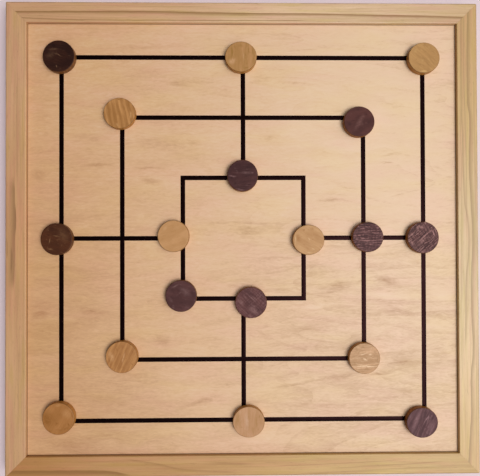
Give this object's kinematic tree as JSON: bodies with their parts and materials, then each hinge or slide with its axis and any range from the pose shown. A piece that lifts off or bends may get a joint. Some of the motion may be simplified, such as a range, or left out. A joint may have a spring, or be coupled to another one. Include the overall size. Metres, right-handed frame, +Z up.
{
  "type": "nine mens morris board",
  "caption": "Square wooden board game: a mitred pine frame round a plywood panel with dark inlaid lines, set with loose dark and light round men.",
  "frame": {"origin": "centre of the frame's underside", "axes": "+X to the player's right, +Y away from the player, +Z up, square to the playing face"},
  "size_m": [0.35, 0.35, 0.016],
  "materials": {
    "frame_pine": "straight-grained pine, sanded and thinly lacquered satin",
    "panel_plywood": "pale plywood face with soft wavy grain, thinly lacquered satin",
    "dark_inlay": "near-black dyed veneer strip, flush with the panel, satin",
    "dark_wood": "dark brown stained hardwood, fine saw marks across the faces, satin",
    "light_wood": "tan beech, fine grain, satin",
    "nail_steel": "plain bright steel strip"
  },
  "bodies": {
    "board": {"back_rail": "frame_pine", "right_rail": "frame_pine", "front_rail": "frame_pine", "left_rail": "frame_pine", "corner_v_nails": "nail_steel", "playing_panel": "panel_plywood", "inner_square_back_strip": "dark_inlay", "inner_square_right_strip": "dark_inlay", "inner_square_front_strip": "dark_inlay", "inner_square_left_strip": "dark_inlay", "middle_square_back_strip": "dark_inlay", "middle_square_right_strip": "dark_inlay", "middle_square_front_strip": "dark_inlay", "middle_square_left_strip": "dark_inlay", "outer_square_back_strip": "dark_inlay", "outer_square_right_strip": "dark_inlay", "outer_square_front_strip": "dark_inlay", "outer_square_left_strip": "dark_inlay", "inner_link_back_strip": "dark_inlay", "inner_link_right_strip": "dark_inlay", "inner_link_front_strip": "dark_inlay", "inner_link_left_strip": "dark_inlay", "outer_link_back_strip": "dark_inlay", "outer_link_right_strip": "dark_inlay", "outer_link_front_strip": "dark_inlay", "outer_link_left_strip": "dark_inlay"},
    "dark_man_1": {"dark_man_1": "dark_wood"},
    "dark_man_2": {"dark_man_2": "dark_wood"},
    "dark_man_3": {"dark_man_3": "dark_wood"},
    "dark_man_4": {"dark_man_4": "dark_wood"},
    "dark_man_5": {"dark_man_5": "dark_wood"},
    "dark_man_6": {"dark_man_6": "dark_wood"},
    "dark_man_7": {"dark_man_7": "dark_wood"},
    "dark_man_8": {"dark_man_8": "dark_wood"},
    "dark_man_9": {"dark_man_9": "dark_wood"},
    "light_man_1": {"light_man_1": "light_wood"},
    "light_man_2": {"light_man_2": "light_wood"},
    "light_man_3": {"light_man_3": "light_wood"},
    "light_man_4": {"light_man_4": "light_wood"},
    "light_man_5": {"light_man_5": "light_wood"},
    "light_man_6": {"light_man_6": "light_wood"},
    "light_man_7": {"light_man_7": "light_wood"},
    "light_man_8": {"light_man_8": "light_wood"},
    "light_man_9": {"light_man_9": "light_wood"}
  },
  "joints": [
    {"name": "dark_man_1_lift", "type": "slide", "parent": "board", "child": "dark_man_1", "axis": [0, 0, 1], "range_m": [0, 0.04]},
    {"name": "dark_man_2_move", "type": "slide", "parent": "board", "child": "dark_man_2", "axis": [1, 0, 0], "range_m": [0, 0.045]},
    {"name": "dark_man_3_lift", "type": "slide", "parent": "board", "child": "dark_man_3", "axis": [0, 0, 1], "range_m": [0, 0.04]},
    {"name": "dark_man_4_lift", "type": "slide", "parent": "board", "child": "dark_man_4", "axis": [0, 0, 1], "range_m": [0, 0.04]},
    {"name": "dark_man_5_lift", "type": "slide", "parent": "board", "child": "dark_man_5", "axis": [0, 0, 1], "range_m": [0, 0.04]},
    {"name": "dark_man_6_lift", "type": "slide", "parent": "board", "child": "dark_man_6", "axis": [0, 0, 1], "range_m": [0, 0.04]},
    {"name": "dark_man_7_move", "type": "slide", "parent": "board", "child": "dark_man_7", "axis": [-1, 0, 0], "range_m": [0, 0.045]},
    {"name": "dark_man_8_lift", "type": "slide", "parent": "board", "child": "dark_man_8", "axis": [0, 0, 1], "range_m": [0, 0.04]},
    {"name": "dark_man_9_move", "type": "slide", "parent": "board", "child": "dark_man_9", "axis": [1, 0, 0], "range_m": [0, 0.045]},
    {"name": "light_man_1_move", "type": "slide", "parent": "board", "child": "light_man_1", "axis": [0, -1, 0], "range_m": [0, 0.045]},
    {"name": "light_man_2_lift", "type": "slide", "parent": "board", "child": "light_man_2", "axis": [0, 0, 1], "range_m": [0, 0.04]},
    {"name": "light_man_3_lift", "type": "slide", "parent": "board", "child": "light_man_3", "axis": [0, 0, 1], "range_m": [0, 0.04]},
    {"name": "light_man_4_move", "type": "slide", "parent": "board", "child": "light_man_4", "axis": [0, 1, 0], "range_m": [0, 0.045]},
    {"name": "light_man_5_lift", "type": "slide", "parent": "board", "child": "light_man_5", "axis": [0, 0, 1], "range_m": [0, 0.04]},
    {"name": "light_man_6_lift", "type": "slide", "parent": "board", "child": "light_man_6", "axis": [0, 0, 1], "range_m": [0, 0.04]},
    {"name": "light_man_7_lift", "type": "slide", "parent": "board", "child": "light_man_7", "axis": [0, 0, 1], "range_m": [0, 0.04]},
    {"name": "light_man_8_lift", "type": "slide", "parent": "board", "child": "light_man_8", "axis": [0, 0, 1], "range_m": [0, 0.04]},
    {"name": "light_man_9_move", "type": "slide", "parent": "board", "child": "light_man_9", "axis": [0, 1, 0], "range_m": [0, 0.045]}
  ]
}
